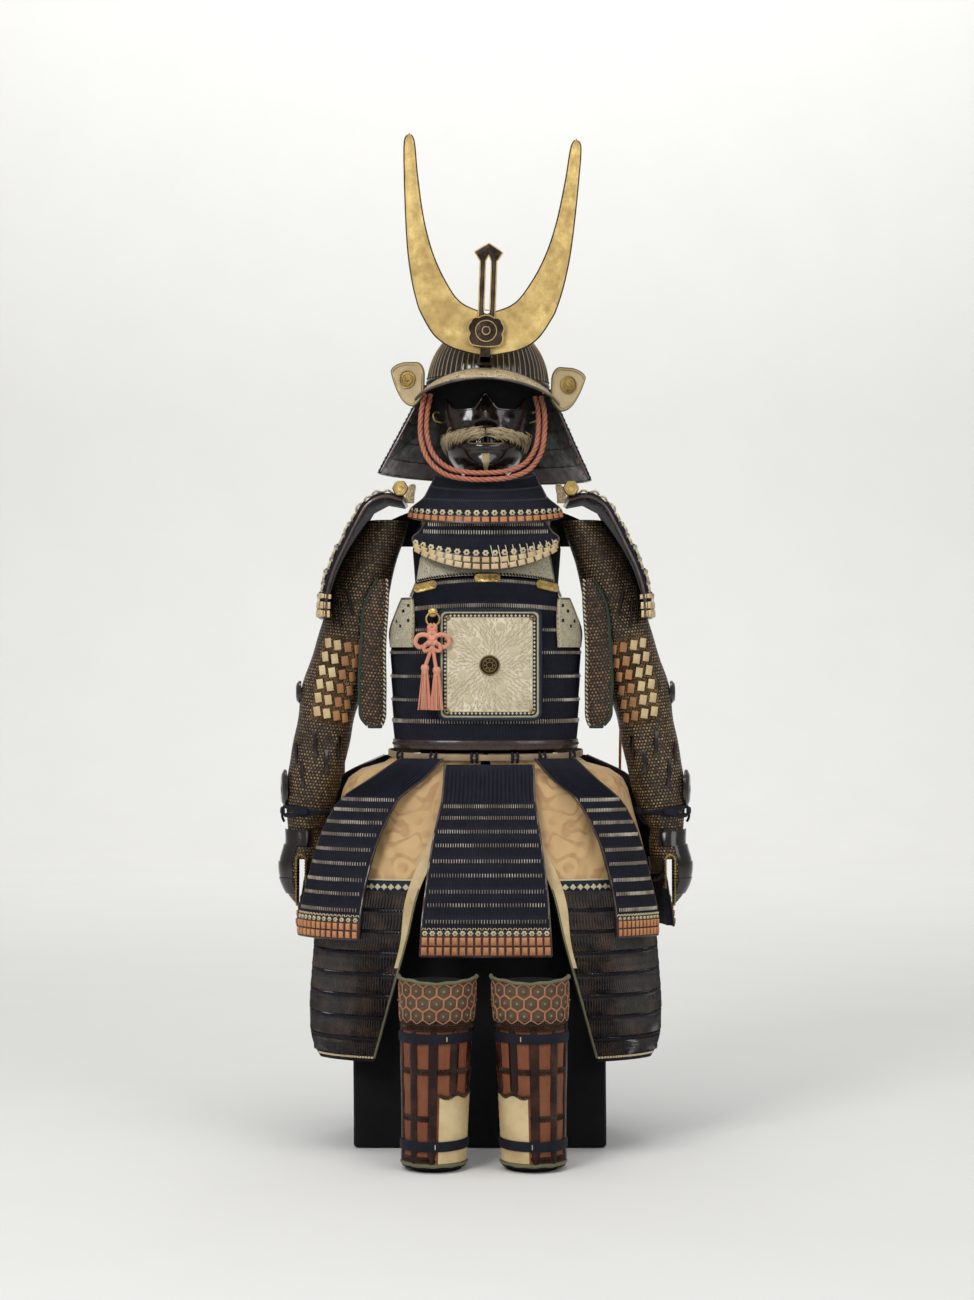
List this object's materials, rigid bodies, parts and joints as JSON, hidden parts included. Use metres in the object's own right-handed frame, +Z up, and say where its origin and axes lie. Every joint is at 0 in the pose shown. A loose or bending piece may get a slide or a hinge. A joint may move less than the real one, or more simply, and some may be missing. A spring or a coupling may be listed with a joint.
{
  "type": "samurai armour on a display stand",
  "caption": "Samurai armour with horned helmet, face mask, laced cuirass, skirt, mail sleeves, thigh apron and shin guards, on a black limbless form and box stand.",
  "frame": {"origin": "on the underside of the stand box, below the upright centre line of the armour", "axes": "+Z up, the front of the armour faces -Y, and the viewer who faces it has +X on the right"},
  "size_m": [0.746, 0.5707, 1.8131],
  "materials": {
    "stand_cloth": "matt black cloth",
    "navy_lacing": "close vertical navy silk braid over lacquered scales",
    "black_lacquer": "glossy black to dark brown lacquer over iron",
    "brown_lacquer": "glossy dark brown lacquer scales",
    "gilt_metal": "aged gilt, brushed",
    "dark_iron": "russet to black iron",
    "printed_leather": "cream leather with a small printed pattern",
    "gilt_leather": "cream-gold leather",
    "tan_leather": "tan leather",
    "ray_skin": "cream panel with a raised net",
    "coral_silk": "coral silk cord",
    "orange_silk": "orange braided silk",
    "brocade": "cream and tan brocade",
    "mail_cloth": "brown iron mail on cloth",
    "russet_silk": "russet silk under lacquered splints",
    "kikko_cloth": "quilted hexagons with coral outlines",
    "bristle": "pale bristle",
    "white_silk": "cream silk lacing and rosettes",
    "orange_lacing": "orange silk lacing squares",
    "green_binding": "green and navy binding tape",
    "iron_rim": "dull metal rim"
  },
  "bodies": {
    "root": {"stand_box": "stand_cloth", "stand_form": "stand_cloth", "leg_form_left": "stand_cloth", "leg_form_right": "stand_cloth", "do_front": "navy_lacing", "do_back": "navy_lacing", "chest_plate": "printed_leather", "shoulder_strap_left": "printed_leather", "shoulder_strap_right": "printed_leather", "side_plate_left": "printed_leather", "side_plate_right": "printed_leather", "breast_panel": "ray_skin", "plaque_centre": "gilt_metal", "plaque_left": "gilt_metal", "plaque_right": "gilt_metal", "tassel_ring": "gilt_metal", "breast_tassel": "coral_silk", "waist_band": "tan_leather", "tasset_front": "navy_lacing", "tasset_front_left": "navy_lacing", "tasset_front_right": "navy_lacing", "tasset_side_left": "navy_lacing", "tasset_back_left": "navy_lacing", "tasset_side_right": "navy_lacing", "tasset_back_right": "navy_lacing", "apron_cloth_left": "brocade", "apron_cloth_right": "brocade", "apron_scales_left": "brown_lacquer", "apron_scales_right": "brown_lacquer", "sleeve_left": "mail_cloth", "sleeve_right": "mail_cloth", "hand_guard_left": "black_lacquer", "hand_guard_right": "black_lacquer", "armpit_guard_left": "mail_cloth", "armpit_guard_right": "mail_cloth", "side_cord_left": "orange_silk", "side_cord_right": "orange_silk", "shoulder_guard_left": "navy_lacing", "shoulder_guard_right": "navy_lacing", "shoulder_toggle_left": "gilt_metal", "shoulder_toggle_right": "gilt_metal", "face_mask": "black_lacquer", "moustache": "bristle", "throat_guard": "navy_lacing", "collar_guard": "navy_lacing", "chin_cord_outer": "coral_silk", "chin_cord_inner": "coral_silk", "helmet_bowl": "black_lacquer", "helmet_peak": "gilt_leather", "neck_guard": "navy_lacing", "turnback_left": "gilt_leather", "turnback_right": "gilt_leather", "helmet_finial": "gilt_metal", "crest_socket": "dark_iron", "shin_guard_left": "russet_silk", "shin_guard_right": "russet_silk", "knee_guard_left": "kikko_cloth", "knee_guard_right": "kikko_cloth"},
    "crest": {"crest_horns": "gilt_metal", "crest_blade": "dark_iron"}
  },
  "joints": [
    {"name": "crest_lift", "type": "slide", "parent": "root", "child": "crest", "axis": [0.0349, 0, 0.9994], "range_m": [0, 0.07]}
  ]
}
